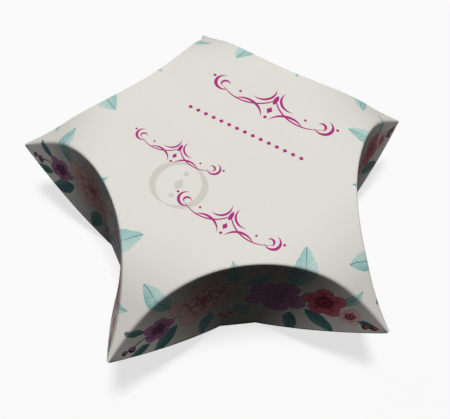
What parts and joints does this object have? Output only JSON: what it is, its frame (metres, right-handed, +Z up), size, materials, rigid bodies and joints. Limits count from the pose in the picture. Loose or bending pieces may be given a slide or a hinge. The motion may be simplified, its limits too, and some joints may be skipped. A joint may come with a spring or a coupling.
{
  "type": "star favour box",
  "caption": "Folding card gift box in the shape of a five-pointed star, with curled-down points, bowed-in walls and one wall that opens on a tuck flap.",
  "frame": {"origin": "centre of the star, on the flat underside of the base", "axes": "+Z up, square to the flat base; +Y towards the middle of the wall that opens, with one tip at -Y"},
  "size_m": [0.0984, 0.0936, 0.0325],
  "materials": {
    "printed_card": "uncoated printed card, off-white",
    "plain_card": "uncoated card, unprinted",
    "dry_glue": "thin film of dry paper glue"
  },
  "bodies": {
    "box": {"top_panel": "printed_card", "bottom_panel": "printed_card", "right_front_wall": "printed_card", "left_front_wall": "printed_card", "left_rear_wall": "printed_card", "right_rear_wall": "printed_card", "left_front_glue_tab": "plain_card", "left_rear_glue_tab": "plain_card", "right_rear_glue_tab": "plain_card", "left_front_glue": "dry_glue", "left_rear_glue": "dry_glue", "right_rear_glue": "dry_glue"},
    "closing_wall": {"closing_wall": "printed_card"},
    "tuck_flap": {"tuck_flap": "plain_card"}
  },
  "joints": [
    {"name": "closing_wall_crease", "type": "hinge", "parent": "box", "child": "closing_wall", "pos_m": [0, 0.02957, 0.0325], "axis": [1, 0, 0], "range_deg": [0, 65]},
    {"name": "tuck_flap_crease", "type": "hinge", "parent": "closing_wall", "child": "tuck_flap", "pos_m": [0, 0.03012, 0.0023], "axis": [1, 0, 0], "range_deg": [-70, 0]}
  ]
}
